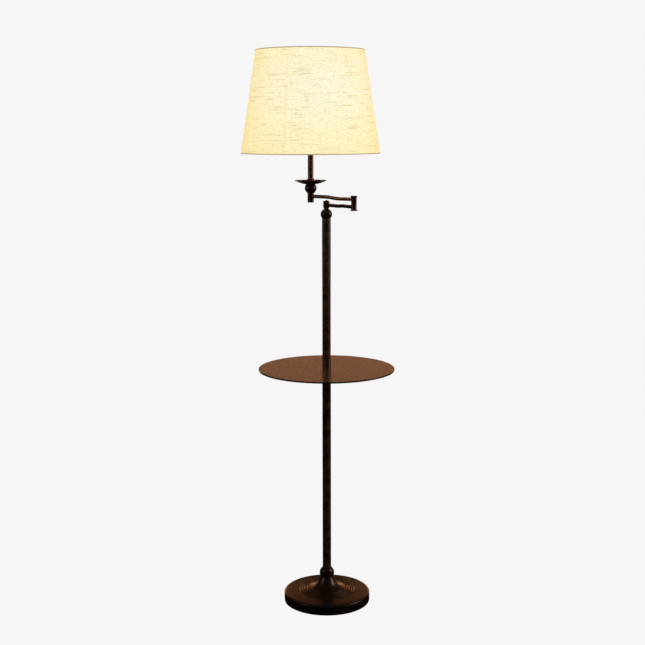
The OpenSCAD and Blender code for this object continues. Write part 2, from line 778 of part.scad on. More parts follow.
module candle_foot() {
    r = candle_r + fit_clear;
    rim_h = 1.2;                         // height of the rim at the foot
    edge = 0.8;                          // chamfer at the top
    color("#241b17") at_head() translate([0, 0, candle_z]) rotate_extrude() polygon([
        [r, 0], [r + 2 * candle_foot_t, 0], [r + 2 * candle_foot_t, rim_h],
        [r + candle_foot_t, 2.5 * rim_h], [r + candle_foot_t, candle_foot_h - 2 * edge],
        [r + candle_foot_t - edge, candle_foot_h], [r, candle_foot_h]
    ]);
}

module candle_tube() {
    color("#4a3326") at_head() translate([0, 0, candle_z]) ring(candle_r, candle_r - candle_t, candle_len);
}

module candle_cap() {
    color("#1c1512") at_head() translate([0, 0, candle_top_z]) {
        ring(candle_cap_r, thread_clear_r, candle_cap_h);
        translate([0, 0, -candle_cap_h])
            ring(candle_r - candle_t - fit_clear, thread_clear_r, candle_cap_h + lip);
    }
}

module head_lead() {
    color("#2a2019") at_head() translate([0, 0, head_arm_z])
        cylinder(h = switch_body_z - head_arm_z, r = lead_r);
}

// ---- Harp, lampholder and bulb ----

module harp_saddle() {
    ear_h = harp_foot_len - ferrule_h - slack;
    ear_gap = harp_wire_r + fit_clear;
    color("#8a7440") at_head() translate([0, 0, saddle_z])
    difference() {
        union() {
            translate([-saddle_w / 2 - ferrule_r, -saddle_d / 2, 0])
                cube([saddle_w + 2 * ferrule_r, saddle_d, saddle_t]);
            // Ears that carry the harp's feet
            for (side = [-1, 1])
                translate([side * (saddle_w / 2 - ear_gap - saddle_t / 2), 0, saddle_t / 2 + ear_h / 2])
                    cube([saddle_t, saddle_d / 2, saddle_t + ear_h], center = true);
        }
        translate([0, 0, -lip]) cylinder(h = saddle_t + 2 * lip, r = thread_clear_r);
    }
}

module harp_ferrules() {
    color("#8a7440") at_head() for (side = [-1, 1])
        translate([side * saddle_w / 2, 0, harp_z + harp_foot_len - ferrule_h])
            ring(ferrule_r, harp_wire_r + fit_clear, ferrule_h);
}

module harp() {
    color("#8a7440") at_head() translate([-saddle_w / 2, 0, harp_z]) rotate([0, -90, 0]) mirror([0, 0, 1])
        tube(harp_path(), harp_wire_r, sides = 14);
}

module harp_stud() {
    color("#8a7440") at_head() {
        translate([0, 0, hub_z - harp_hub_h]) cylinder(h = harp_hub_h, r = harp_hub_r);
        translate([0, 0, hub_z - harp_hub_h]) cylinder(h = harp_hub_h + finial_h / 2, r = harp_stud_r);
    }
}

module holder_cap() {
    outer = [[holder_neck_r, 0], [holder_neck_r, holder_neck_h], [holder_cone_r, holder_cone_z],
             [holder_r, holder_shoulder_z]];
    inner = [for (i = [len(outer) - 1:-1:0]) outer[i] + [-holder_t, holder_t]];
    color("#8a7440") at_head() translate([0, 0, holder_z]) rotate_extrude() polygon(concat(
        [[thread_clear_r, 0]], outer, [[holder_r, holder_cap_h], [holder_r - holder_t, holder_cap_h]],
        inner, [[thread_clear_r, holder_t]]));
}

module holder_shell() {
    bead = 0.8;                          // how far the bead and the rolled rim stand out
    bead_z = 3;
    bead_h = 2;
    rim_h = 2;
    color("#8a7440")
    difference() {
        at_head() translate([0, 0, shell_z]) rotate_extrude() polygon([
            [holder_r - holder_t, 0], [holder_r, 0], [holder_r, bead_z],
            [holder_r + bead, bead_z + bead_h / 2], [holder_r, bead_z + bead_h],
            [holder_r, holder_shell_h - 2 * rim_h], [holder_r + bead, holder_shell_h - rim_h],
            [holder_r + bead, holder_shell_h], [holder_r - holder_t, holder_shell_h]
        ]);
        shaft_hole();
    }
}

// Hole round the switch's shaft, through the holder's front
module shaft_hole() {
    at_head() translate([0, 0, switch_z]) rotate([90, 0, 0])
        cylinder(h = holder_d, r = switch_shaft_r + switch_hole_gap);
}

module holder_liner() {
    color("#cbb98f")
    difference() {
        at_head() translate([0, 0, shell_z]) ring(liner_r, liner_r - liner_t, holder_shell_h - liner_inset);
        shaft_hole();
    }
}

module screw_shell() {
    bore_r = bulb_base_d / 2 + fit_clear;
    color("#b9b9b4") at_head() translate([0, 0, switch_body_z + switch_body_h])
        ring(bore_r + screw_shell_t, bore_r, screw_shell_h);
}

module switch_body() {
    low_r = holder_cone_r - 2 * holder_t;
    foot_r = 0.55 * holder_r;
    color("#1a1a1a")
    difference() {
        at_head() translate([0, 0, switch_body_z]) rotate_extrude() polygon([
            [0, 0], [foot_r, 0], [low_r, 3], [low_r, shell_z - switch_body_z],
            [switch_body_r, shell_z - switch_body_z], [switch_body_r, switch_body_h], [0, switch_body_h]
        ]);
        at_head() translate([0, 0, switch_z]) rotate([90, 0, 0])
            cylinder(h = holder_d, r = switch_shaft_r + run_clear);
    }
}

module switch_knob() {
    start = holder_r + 3;                // where the grip starts, in front of the shell
    flute_r = 1;
    color("#1a1a1a") at_head() translate([0, 0, switch_z]) rotate([90, 0, 0]) {
        translate([0, 0, 1]) cylinder(h = start, r = switch_shaft_r);
        translate([0, 0, start])
        difference() {
            cylinder(h = knob_len, r = knob_d / 2);
            for (k = [0:knob_flute_n - 1]) rotate([0, 0, k * 360 / knob_flute_n])
                translate([knob_d / 2 + flute_r / 2, 0, 1]) cylinder(h = knob_len, r = flute_r, $fn = 24);
        }
    }
}

module bulb_base() {
    r = bulb_base_d / 2;
    contact_r = 4;
    contact_h = 2;
    seat_h = 7;                          // height of the tapered end below the screw
    color("#b9b9b4") at_head() translate([0, 0, bulb_z]) rotate_extrude() polygon([
        [0, 0], [contact_r, 0], [contact_r + 1, contact_h], [r - 3, 0.65 * seat_h], [r, seat_h],
        [r, bulb_base_h], [0, bulb_base_h]
    ]);
}

module bulb_glass() {
    // The outline runs from the neck along a flare that meets the round top
    join = 35;                           // where the flare meets the round top, below its middle
    neck_z = bulb_z + bulb_base_h;
    join_at = [bulb_r * cos(join), bulb_centre_z - bulb_r * sin(join)];
    flare = [for (i = [0:bulb_steps])
        curve([bulb_neck_r, neck_z], join_at + (join_at[0] - bulb_neck_r) * [-sin(join), -cos(join)] * 0.9,
              join_at, i / bulb_steps)];
    dome = [for (i = [1:bulb_steps]) let (a = -join + (90 + join) * i / bulb_steps)
        [bulb_r * cos(a), bulb_centre_z + bulb_r * sin(a)]];
    color("#fff3d6") at_head() rotate_extrude() polygon(concat(flare, dome, [[0, neck_z]]));
}

// ---- Shade ----

module spider_hub() {
    color("#8a7440") at_head() translate([0, 0, hub_z])
        ring(spider_hub_r, harp_stud_r + fit_clear, spider_hub_t);
}

module spider_spokes() {
    start = spider_hub_r + 0.2;
    end_z = shade_top_z - shade_wire_r;
    end = shade_inner_r(end_z) - 2 * shade_wire_r - 2 * fit_clear;
    rise = end_z - hub_z - spoke_r;
    color("#8a7440") at_head() for (k = [0:spoke_n - 1])
        rotate([0, 0, 90 + k * 360 / spoke_n]) translate([start, 0, hub_z + spoke_r])
            rotate([0, 90 - atan(rise / (end - start)), 0])
                cylinder(h = norm([end - start, rise]), r = spoke_r);
}

// Wire ring that lies inside the fabric at height z
module shade_wire(z) {
    r = shade_inner_r(z) - shade_wire_r / cos(shade_lean) - fit_clear;
    at_head() translate([0, 0, z]) rotate_extrude() translate([r, 0]) circle(r = shade_wire_r);
}

module shade_top_ring() { color("#d8d2c2") shade_wire(shade_top_z - shade_wire_r); }
module shade_bottom_ring() { color("#d8d2c2") shade_wire(shade_z + shade_wire_r); }

module shade_shell() {
    bottom = shade_bottom_d / 2;
    top = shade_top_d / 2;
    color("#f6ecc9") at_head() translate([0, 0, shade_z]) rotate_extrude() polygon([
        [bottom - shade_t, 0], [bottom, 0], [top, shade_h], [top - shade_t, shade_h]
    ]);
}

module finial() {
    r = finial_d / 2;
    h = finial_h;
    color("#1c1512") at_head() translate([0, 0, finial_z])
    difference() {
        rotate_extrude() polygon(concat(
            [[0, 0], [0.9 * r, 0], [0.9 * r, 0.1 * h], [0.5 * r, 0.2 * h], [0.5 * r, 0.3 * h]],
            [for (i = [1:arc_steps]) let (a = -50 + 140 * i / arc_steps)
                [r * cos(a), 0.64 * h + 0.36 * h * sin(a)]]));
        translate([0, 0, -lip]) cylinder(h = h / 2, r = harp_stud_r + fit_clear);
    }
}

base_pad();
base_weight();
base_cover();
base_washer();
base_nut();
base_nipple();
cord_grommet();
foot_ball();
lower_pole();
upper_pole();
pole_inserts();
table_flange();
table_top();
table_nipple();
top_ball();
swivel_stud();
swivel_washer();
swivel_nut();
pole_lead();
swivel_barrel();
lower_arm_tube();
lower_arm_lead();
elbow_lower_barrel();
elbow_pin();
elbow_washer();
elbow_cap();
elbow_upper_barrel();
upper_arm_tube();
upper_arm_lead();
head_barrel();
head_nut();
head_nipple();
head_ball();
drip_dish();
candle_foot();
candle_tube();
candle_cap();
head_lead();
harp_saddle();
harp_ferrules();
harp();
harp_stud();
holder_cap();
holder_shell();
holder_liner();
screw_shell();
switch_body();
switch_knob();
bulb_base();
bulb_glass();
spider_hub();
spider_spokes();
shade_top_ring();
shade_bottom_ring();
shade_shell();
finial();
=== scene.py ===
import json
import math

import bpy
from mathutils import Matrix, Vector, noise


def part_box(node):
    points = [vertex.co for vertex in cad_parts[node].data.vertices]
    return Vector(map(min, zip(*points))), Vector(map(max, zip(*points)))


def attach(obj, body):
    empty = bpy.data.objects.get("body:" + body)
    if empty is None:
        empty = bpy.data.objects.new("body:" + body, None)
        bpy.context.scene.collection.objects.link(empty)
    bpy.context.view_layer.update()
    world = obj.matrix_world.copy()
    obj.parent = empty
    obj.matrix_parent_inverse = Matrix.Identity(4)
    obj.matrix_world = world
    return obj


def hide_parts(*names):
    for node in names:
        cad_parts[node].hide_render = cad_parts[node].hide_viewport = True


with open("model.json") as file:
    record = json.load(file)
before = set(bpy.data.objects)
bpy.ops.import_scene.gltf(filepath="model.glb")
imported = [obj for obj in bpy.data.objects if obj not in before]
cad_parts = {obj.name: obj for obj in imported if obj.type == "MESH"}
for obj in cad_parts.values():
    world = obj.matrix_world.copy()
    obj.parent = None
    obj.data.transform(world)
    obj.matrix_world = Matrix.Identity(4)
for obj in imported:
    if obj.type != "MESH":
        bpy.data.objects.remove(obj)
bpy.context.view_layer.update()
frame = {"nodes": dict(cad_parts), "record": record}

# Floor lamp with a round table on its pole and a swinging two-part arm.
# Sizes are in millimetres, as on the drawing, and MM takes them to Blender's metres.
# The outline of a turned piece is a row of (radius, height above the piece's foot).

MM = 0.001
TURN_SIDES = 96                          # flats round a turned piece
BAR_SIDES, BEND_STEP = 40, 4.0           # flats round a bent bar, and degrees of bend to a step
FRONT_TO_BACK = (0, 1, 0)

# ---- Sizes that the pieces share, as in the part ----

SHEET = 1.2                              # thickness of the spun steel sheet
POLE_R = 12.5
POLE_SEAT_R = POLE_R + 0.6               # the flat that a ball has where the pole meets it
BASE_R = 126.5
BASE_SIDE = 24.0                         # height of the base's upright side
SHOULDER, SHOULDER_RISE = 9.5, 5.0
BAND, BAND_RISE = 35.0, 3.0              # the plain band inside the shoulder
RINGS, RING, RING_RISE = 4, 7.5, 2.0
GROOVE = 0.8
BELL_H, NECK_R = 32.0, 18.5
INLET_Z, INLET_R = 8.5, 4.6              # the cord's way into the base, at the back
FOOT_BALL_R, BALL_R = 21.5, 16.5         # the ball under the pole, and the two small ones
TABLE_R, TABLE_RIM, TABLE_CORNER, TABLE_HOLE_R = 197.0, 4.0, 2.0, 8.0
HEAD = (-43.6883, -42.9324)              # the head's axis, seen from above
ELBOW = (74.9836, -119.999)              # the elbow's axis
BARREL_R, ELBOW_R, ELBOW_CAP_R = 9.0, 7.6, 9.5
ARM_LEN, ARM_R, ARM_ENTRY = 141.5, 5.0, 5.6
ARM_BEND_R = 160.0
LOWER_ARM_TURN, UPPER_ARM_TURN = -58.0, 147.0   # where the arms head at rest, in degrees from +X
LOWER_ARM_RISE, UPPER_ARM_RISE = 1.8, 4.0
CANDLE_R, CANDLE_H = 7.9, 117.0
HARP_SPREAD, HARP_WIRE_R = 42.0, 1.7     # between the harp's feet, and its wire
HOLDER_R, HOLDER_SHEET = 16.5, 0.7
SWITCH_UP = 31.0                         # height of the switch above the lampholder's foot
SCREW_R, BULB_R = 12.4, 30.0             # the bulb's screw base and its globe
SHADE_LOW_R, SHADE_TOP_R, SHADE_H = 193.0, 150.0, 280.0
CLOTH = 0.8                              # thickness of the shade's lined cloth
SEAM = 250.0                             # direction of the seam's free edge, seen from above
LAP, LAP_R = 8.0, 170.0                  # width of the seam's lap, and the radius it is taken at
LAP_SHARE = LAP / (2 * math.pi * LAP_R + LAP)


def low(node):
    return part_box(node)[0].z / MM


def high(node):
    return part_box(node)[1].z / MM


def back(node):
    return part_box(node)[1].y / MM


SHADE_Z = low("shade_shell")
BULB_Z = high("bulb_glass") - BULB_R     # height of the globe's middle


# ---- Nodes of the materials ----

def feed(tree, node, inputs):
    """Gives each input of a node a value, or the socket that feeds it."""
    for key, value in inputs.items():
        if isinstance(value, bpy.types.NodeSocket):
            tree.links.new(value, node.inputs[key])
        else:
            node.inputs[key].default_value = value


def add(tree, kind, inputs=None, **settings):
    made = tree.nodes.new("ShaderNode" + kind)
    for key, value in settings.items():
        setattr(made, key, value)
    feed(tree, made, inputs or {})
    return made


def new_material(name):
    mat = bpy.data.materials.new(name)
    mat.use_nodes = True
    tree = mat.node_tree
    tree.nodes.clear()
    shader = add(tree, "BsdfPrincipled")
    add(tree, "OutputMaterial", {"Surface": shader.outputs["BSDF"]})
    return mat, tree, shader


def own_place(tree):
    """The place on the piece, in metres."""
    return add(tree, "TexCoord").outputs["Object"]


def grain(tree, where, scale, detail=3, rough=0.55, stretch=None):
    """Noise with scale spots to the metre."""
    if stretch:
        where = add(tree, "Mapping", {"Vector": where, "Scale": stretch}).outputs[0]
    spots = {"Vector": where, "Scale": scale, "Detail": detail, "Roughness": rough}
    return add(tree, "TexNoise", spots).outputs["Fac"]


def between(tree, value, lo, hi, to_lo=0.0, to_hi=1.0):
    """Spreads value from lo..hi over to_lo..to_hi."""
    spread = {"Value": value, "From Min": lo, "From Max": hi, "To Min": to_lo, "To Max": to_hi}
    return add(tree, "MapRange", spread).outputs["Result"]


def blend(tree, share, a, b):
    """Tone a, with that share of tone b."""
    return add(tree, "Mix", {0: share, 6: a, 7: b}, data_type="RGBA").outputs[2]


def times(tree, a, b):
    return add(tree, "Math", {0: a, 1: b}, operation="MULTIPLY").outputs[0]


def plus(tree, a, b, clamp=False):
    return add(tree, "Math", {0: a, 1: b}, operation="ADD", use_clamp=clamp).outputs[0]


def bumped(tree, shader, height, depth, strength=0.5):
    """Raises the surface by depth, in metres, where height is 1."""
    made = add(tree, "Bump", {"Height": height, "Distance": depth, "Strength": strength})
    feed(tree, shader, {"Normal": made.outputs[0]})


def rgb(r, g, b):
    return (r, g, b, 1)


# ---- Camera, floor and light, in metres ----

LENS, FILM = 65.86, 36.0                 # focal length and film width, in millimetres
EYE_AT = (-0.0104, -3.350, 1.388)
EYE_TILT, EYE_ROLL = 80.66, 0.12         # degrees up from straight down, and sideways
PAPER = rgb(0.922, 0.922, 0.922)         # the pale backdrop, as the camera sees it
ROOM, ROOM_TINT = 0.05, rgb(1.0, 0.97, 0.94)    # the dim room that the pieces reflect
FLOOR_TONE, FLOOR_SIZE = 0.02, 240.0
WALL_TINT = (1.0, 0.74, 0.52)
LIGHTS = (                               # place, aim, width and height, watts, tint
    ("softbox_right", (3.0, -0.2, 1.75), (0, 0, 1.1), (1.3, 1.6), 32, (1.0, 0.97, 0.94)),
    ("softbox_left", (-2.8, -1.3, 1.75), (0, 0, 1.1), (0.8, 1.6), 9, (1.0, 0.96, 0.95)),
    ("wall_right", (1.0, 2.4, 0.42), (0, 0, 0.1), (1.3, 0.5), 5.6, WALL_TINT),
    ("wall_left", (-1.0, 2.4, 0.42), (0, 0, 0.1), (1.3, 0.5), 5.6, WALL_TINT),
    ("strip_behind", (0, 2.4, 1.24), (0, 0, 0.75), (2.6, 0.3), 2.4, (1.0, 0.49, 0.24)),
)


def camera():
    """At the photograph's height, looking a little down."""
    eye = bpy.data.cameras.new("camera")
    eye.lens, eye.sensor_width = LENS, FILM
    stand = bpy.data.objects.new("camera", eye)
    stand.location = EYE_AT
    stand.rotation_euler = (math.radians(EYE_TILT), math.radians(EYE_ROLL), 0)
    bpy.context.scene.collection.objects.link(stand)
    bpy.context.scene.camera = stand


def studio():
    """A plain pale floor that runs into a backdrop of the same tone, soft light from both sides,
    and warm light from behind, low down, for the sheen on base and table."""
    world = bpy.data.worlds.new("studio")
    bpy.context.scene.world = world
    world.use_nodes = True
    tree = world.node_tree
    tree.nodes.clear()
    light = add(tree, "Background", {"Color": ROOM_TINT, "Strength": ROOM})
    paper = add(tree, "Background", {"Color": PAPER})
    seen = add(tree, "LightPath").outputs["Is Camera Ray"]
    either = add(tree, "MixShader", {0: seen, 1: light.outputs[0], 2: paper.outputs[0]})
    add(tree, "OutputWorld", {"Surface": either.outputs[0]})

    bpy.ops.mesh.primitive_plane_add(size=FLOOR_SIZE)
    floor = bpy.context.active_object
    floor.name = "floor"
    mat, tree, shader = new_material("pale floor")
    seen = add(tree, "LightPath").outputs["Is Camera Ray"]
    feed(tree, shader, {"Base Color": rgb(FLOOR_TONE, FLOOR_TONE, FLOOR_TONE), "Roughness": 0.9,
                        "Specular IOR Level": 0.0, "Emission Color": PAPER,
                        "Emission Strength": times(tree, seen, 1 - ROOM * FLOOR_TONE / PAPER[0])})
    mat.cycles.emission_sampling = "NONE"    # the floor is pale to the camera, and lights nothing
    floor.data.materials.append(mat)

    for name, at, aim, size, power, tint in LIGHTS:
        box = bpy.data.lights.new(name, "AREA")
        box.shape, box.size, box.size_y = "RECTANGLE", size[0], size[1]
        box.energy, box.color = power, tint
        hung = bpy.data.objects.new(name, box)
        hung.location = at
        hung.rotation_euler = (Vector(aim) - Vector(at)).to_track_quat("-Z", "Y").to_euler()
        bpy.context.scene.collection.objects.link(hung)

    bpy.context.scene.view_settings.view_transform = "Standard"


# ---- Finishes ----

def coat(name, deep, light, cloud=30, speck=700, metal=0.0, rough=(0.4, 0.5), gloss=0.5,
         orange_peel=0.00008, rubbed=None, turned_marks=0, edge_tint=None):
    """A finish of two close tones in soft clouds, with fine specks, an uneven gloss and a fine
    skin. cloud and speck are spots to the metre, and orange_peel the skin's depth in metres. rubbed
    is the tone that shows where edges are rubbed, and turned_marks the lathe's rings to the metre."""
    mat, tree, shader = new_material(name)
    where = own_place(tree)
    clouds = grain(tree, where, cloud, detail=5, rough=0.62)
    specks = grain(tree, where, speck, detail=2)
    streaks = grain(tree, where, cloud * 6, detail=4)
    tone = blend(tree, between(tree, clouds, 0.34, 0.68), deep, light)
    tone = blend(tree, between(tree, specks, 0.35, 0.7, 0.0, 0.3), tone, deep)
    if rubbed:
        # along with the rubbed edges, the hollows turn darker, where the surface is least pointy
        hollow_tone = rgb(0.006, 0.004, 0.003)
        edge = add(tree, "NewGeometry").outputs["Pointiness"]
        worn = between(tree, edge, 0.57, 0.68, 0.0, 0.8)
        worn = times(tree, worn, between(tree, clouds, 0.38, 0.6))
        tone = blend(tree, worn, tone, rubbed)
        tone = blend(tree, between(tree, edge, 0.46, 0.38, 0.0, 0.75), tone, hollow_tone)
    feed(tree, shader, {"Base Color": tone, "Metallic": metal, "Specular IOR Level": gloss,
                        "Roughness": between(tree, streaks, 0.3, 0.7, rough[0], rough[1])})
    if edge_tint:
        feed(tree, shader, {"Specular Tint": edge_tint})
    skin = specks
    if turned_marks:
        height = add(tree, "SeparateXYZ", {"Vector": where}).outputs["Z"]
        turns = times(tree, height, turned_marks * math.tau)
        rings = add(tree, "Math", {0: turns}, operation="SINE").outputs[0]
        skin = plus(tree, specks, times(tree, rings, 0.4))
    bumped(tree, shader, skin, orange_peel)
    return mat


CLOTH_SCALE = (1.086, 0.283, 1)          # metres of cloth over its whole UV map, around and up
GLOW_LEAN = 16.0                         # the painted glow is brightest a little to the front right
GLOW_CENTRE = ((HEAD[0] + GLOW_LEAN) * MM, (HEAD[1] - GLOW_LEAN) * MM, BULB_Z * MM)
GLOW_NEAR, GLOW_FAR = 0.145, 0.245       # metres from the painted glow's centre, beside the bulb, to its brightest and dullest cloth
GLOW_TONES = ((0.0, (0.965, 1.0, 0.93)), (0.18, (0.965, 1.0, 0.855)), (0.5, (0.965, 0.985, 0.74)),
              (0.75, (0.965, 0.965, 0.70)), (1.0, (0.965, 0.945, 0.67)))


def linen():
    """Slubbed linen on a clear backing, with a painted glow for the bulb's light shining through it:
    brightest at the bulb's height, with darker weft slubs, fainter warp slubs, and painted shade
    where the lap of the seam lets less light through."""
    mat, tree, shader = new_material("linen lit from inside")
    cloth = add(tree, "UVMap", uv_map="UVMap").outputs[0]
    around = add(tree, "SeparateXYZ", {"Vector": cloth}).outputs["X"]
    flat = add(tree, "Mapping", {"Vector": cloth, "Scale": CLOTH_SCALE}).outputs[0]

    def slubs(stretch, detail, lo, hi):
        return between(tree, grain(tree, flat, 1, detail, 0.5, stretch), lo, hi)

    weft, warp = slubs((13, 205, 1), 2, 0.56, 0.68), slubs((260, 30, 1), 2, 0.56, 0.72)
    fine_weft = slubs((105, 330, 1), 1, 0.40, 0.66)
    slub = plus(tree, times(tree, weft, 0.60), times(tree, warp, 0.25))
    slub = plus(tree, slub, times(tree, fine_weft, 0.42), clamp=True)
    cloudy = between(tree, grain(tree, flat, 18, 4), 0.35, 0.65)

    # painted glow: the cloth's emission stands in for the bulb's light through it, brightest nearest
    # the glow's centre
    away = add(tree, "VectorMath", {0: own_place(tree), 1: GLOW_CENTRE}, operation="DISTANCE")
    lit = add(tree, "ValToRGB", {"Fac": between(tree, away.outputs["Value"], GLOW_NEAR, GLOW_FAR)})
    stops = lit.color_ramp.elements
    stops[0].color, stops[1].color = rgb(*GLOW_TONES[0][1]), rgb(*GLOW_TONES[-1][1])
    for at, tone in GLOW_TONES[1:-1]:
        stops.new(at).color = rgb(*tone)
    glow = blend(tree, times(tree, cloudy, 0.10), lit.outputs[0], rgb(0.98, 0.80, 0.52))
    glow = blend(tree, times(tree, slub, 0.88), glow, rgb(0.69, 0.60, 0.31))
    # painted shade: the glow is dimmer over the seam's lap, where the double cloth lets less light
    # through
    lap = add(tree, "Math", {0: around, 1: 1 - LAP_SHARE}, operation="GREATER_THAN").outputs[0]
    lap = times(tree, lap, between(tree, grain(tree, flat, 22, 2), 0.35, 0.6, 0.05, 0.26))
    glow = blend(tree, lap, glow, rgb(0.92, 0.66, 0.38))

    # the cloth's own tone is kept dark, as the painted glow carries most of its brightness
    plain = blend(tree, slub, rgb(0.29, 0.25, 0.16), rgb(0.17, 0.12, 0.065))
    feed(tree, shader, {"Base Color": plain, "Roughness": 0.85, "Specular IOR Level": 0.1,
                        "Emission Color": glow, "Emission Strength": 1.06,
                        "Coat Weight": 1.0, "Coat Roughness": 0.9, "Coat IOR": 1.08,
                        "Coat Tint": rgb(0.98, 0.913, 0.787)})
    thread = {"Vector": flat, "Scale": 190.0, "Distortion": 1.5, "Detail": 1.0,
              "Detail Scale": 60.0}
    ends, picks = (add(tree, "TexWave", thread, bands_direction=way).outputs["Fac"] for way in "XY")
    skin = plus(tree, times(tree, ends, picks), times(tree, slub, 1.5))
    bumped(tree, shader, skin, 0.0003, 0.7)
    mat.cycles.emission_sampling = "NONE"    # the bulb gives the light; the cloth's glow is painted and lights nothing
    return mat


def backing():
    """The clear backing inside the shade, with the linen showing through."""
    mat, tree, shader = new_material("clear backing")
    where = own_place(tree)
    cloudy = between(tree, grain(tree, where, 40), 0.35, 0.65)
    feed(tree, shader, {"Roughness": 0.55, "Base Color": blend(
        tree, cloudy, rgb(0.60, 0.55, 0.45), rgb(0.68, 0.63, 0.53))})
    bumped(tree, shader, grain(tree, where, 900, 2), 0.0001, 0.3)
    return mat


def hem_tape():
    """The folded tape of the shade's edges, with a weaker painted glow for the little light coming
    through it.
    """
    mat = coat("linen tape, folded", rgb(0.30, 0.20, 0.11), rgb(0.42, 0.29, 0.17), cloud=25,
               speck=900, rough=(0.8, 0.9), gloss=0.1, orange_peel=0.0002)
    # painted glow: weaker than the cloth's, as the folded tape lets less light through
    feed(mat.node_tree, mat.node_tree.nodes["Principled BSDF"], {
        "Emission Color": rgb(0.80, 0.56, 0.34), "Emission Strength": 0.5})
    return mat


BULB_GLOW = 60.0


def lit_glass():
    """Frosted glass with the lamp burning behind it, dimmer down towards the screw base."""
    mat, tree, shader = new_material("frosted glass, lit")
    where = own_place(tree)
    height = add(tree, "SeparateXYZ", {"Vector": where}).outputs["Z"]
    up = between(tree, height, low("bulb_glass") * MM, BULB_Z * MM)
    frost = grain(tree, where, 500, 2)
    tone = blend(tree, up, rgb(0.35, 0.22, 0.105), rgb(1.0, 0.80, 0.52))
    tone = blend(tree, between(tree, frost, 0.3, 0.7, 0.0, 0.1), tone, rgb(1.0, 0.7, 0.4))
    plain = blend(tree, frost, rgb(0.85, 0.82, 0.76), rgb(0.95, 0.93, 0.88))
    feed(tree, shader, {"Base Color": plain, "Roughness": 0.5, "Emission Color": tone,
                        "Emission Strength": BULB_GLOW})
    bumped(tree, shader, frost, 0.0001, 0.3)
    return mat


